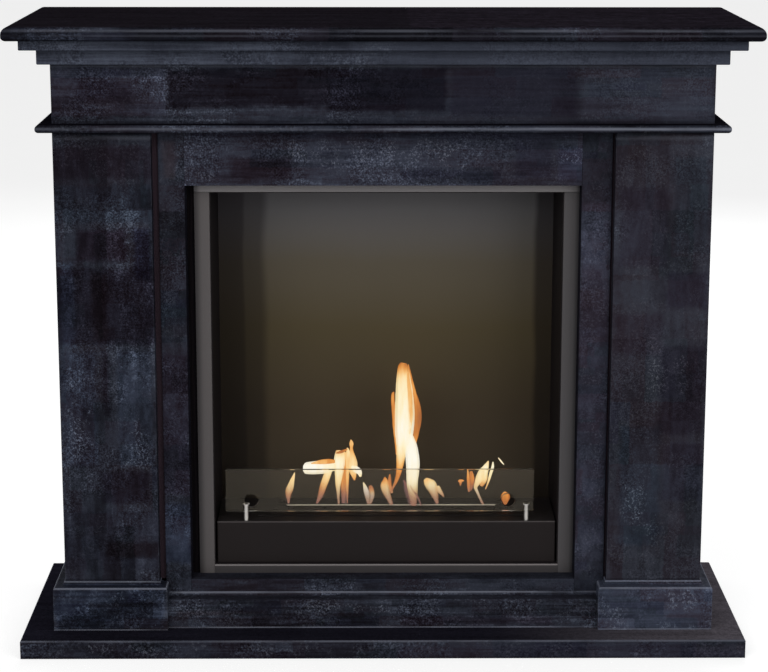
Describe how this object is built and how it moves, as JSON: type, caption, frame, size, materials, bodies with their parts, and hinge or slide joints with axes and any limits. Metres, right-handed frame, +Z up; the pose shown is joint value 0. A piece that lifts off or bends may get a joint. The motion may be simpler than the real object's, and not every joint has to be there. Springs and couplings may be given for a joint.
{
  "type": "bioethanol fireplace",
  "caption": "Free-standing mantel fireplace with stepped cornice, pilasters and base slab around a steel firebox with a slotted ethanol burner, damper and low glass pane.",
  "frame": {"origin": "on the floor, at the middle of the width and depth", "axes": "+Z up, -Y towards the viewer, +Y towards the wall, +X to the viewer's right"},
  "size_m": [1.236, 0.395, 1.075],
  "materials": {
    "mantel_stone": "honed and waxed, near-black with slate-blue patches",
    "timber": "sawn softwood, stained near-black",
    "frame_steel": "satin dark grey powder coat",
    "casing_steel": "satin heat-resistant dark grey",
    "housing_steel": "satin black",
    "stainless": "brushed stainless",
    "pane_glass": "clear toughened, polished edges",
    "wool": "matt fibrous"
  },
  "bodies": {
    "fireplace": {"base_slab": "mantel_stone", "mantel_shelf": "mantel_stone", "pilaster_left": "mantel_stone", "pilaster_right": "mantel_stone", "side_panel_left": "mantel_stone", "side_panel_right": "mantel_stone", "frieze_board": "mantel_stone", "frieze_side_left": "mantel_stone", "frieze_side_right": "mantel_stone", "upper_cornice_front": "mantel_stone", "upper_cornice_return_left": "mantel_stone", "upper_cornice_return_right": "mantel_stone", "lower_cornice_front": "mantel_stone", "lower_cornice_return_left": "mantel_stone", "lower_cornice_return_right": "mantel_stone", "astragal_front": "mantel_stone", "astragal_return_left": "mantel_stone", "astragal_return_right": "mantel_stone", "side_skirting_left": "mantel_stone", "side_skirting_right": "mantel_stone", "pilaster_plinth_left": "mantel_stone", "pilaster_plinth_right": "mantel_stone", "centre_plinth": "mantel_stone", "jamb_left": "mantel_stone", "jamb_right": "mantel_stone", "lintel": "mantel_stone", "sill": "mantel_stone", "pilaster_cheek_left": "timber", "pilaster_cheek_right": "timber", "back_rail": "timber", "insert_shelf": "timber", "shelf_cleat_left": "timber", "shelf_cleat_right": "timber", "jamb_batten_left": "timber", "jamb_batten_right": "timber", "head_batten": "timber", "frame_left": "frame_steel", "frame_right": "frame_steel", "frame_top": "frame_steel", "frame_bottom": "frame_steel", "casing_back": "casing_steel", "casing_floor": "casing_steel", "casing_roof": "casing_steel", "casing_left": "casing_steel", "casing_right": "casing_steel", "burner_housing": "housing_steel", "glass_post_left": "stainless", "glass_post_right": "stainless", "post_nuts": "stainless"},
    "pane": {"glass_pane": "pane_glass"},
    "burner": {"burner_plate": "housing_steel", "slot_collar": "stainless", "burner_tank": "stainless", "ceramic_wool": "wool", "damper_guide_left": "housing_steel", "damper_guide_right": "housing_steel"},
    "damper": {"damper": "housing_steel"}
  },
  "joints": [
    {"name": "glass_lift", "type": "slide", "parent": "fireplace", "child": "pane", "axis": [0, 0, 1], "range_m": [0, 0.04]},
    {"name": "burner_lift", "type": "slide", "parent": "fireplace", "child": "burner", "axis": [0, 0, 1], "range_m": [0, 0.07]},
    {"name": "damper_slide", "type": "slide", "parent": "burner", "child": "damper", "axis": [0, -1, 0], "range_m": [0, 0.0285]}
  ]
}
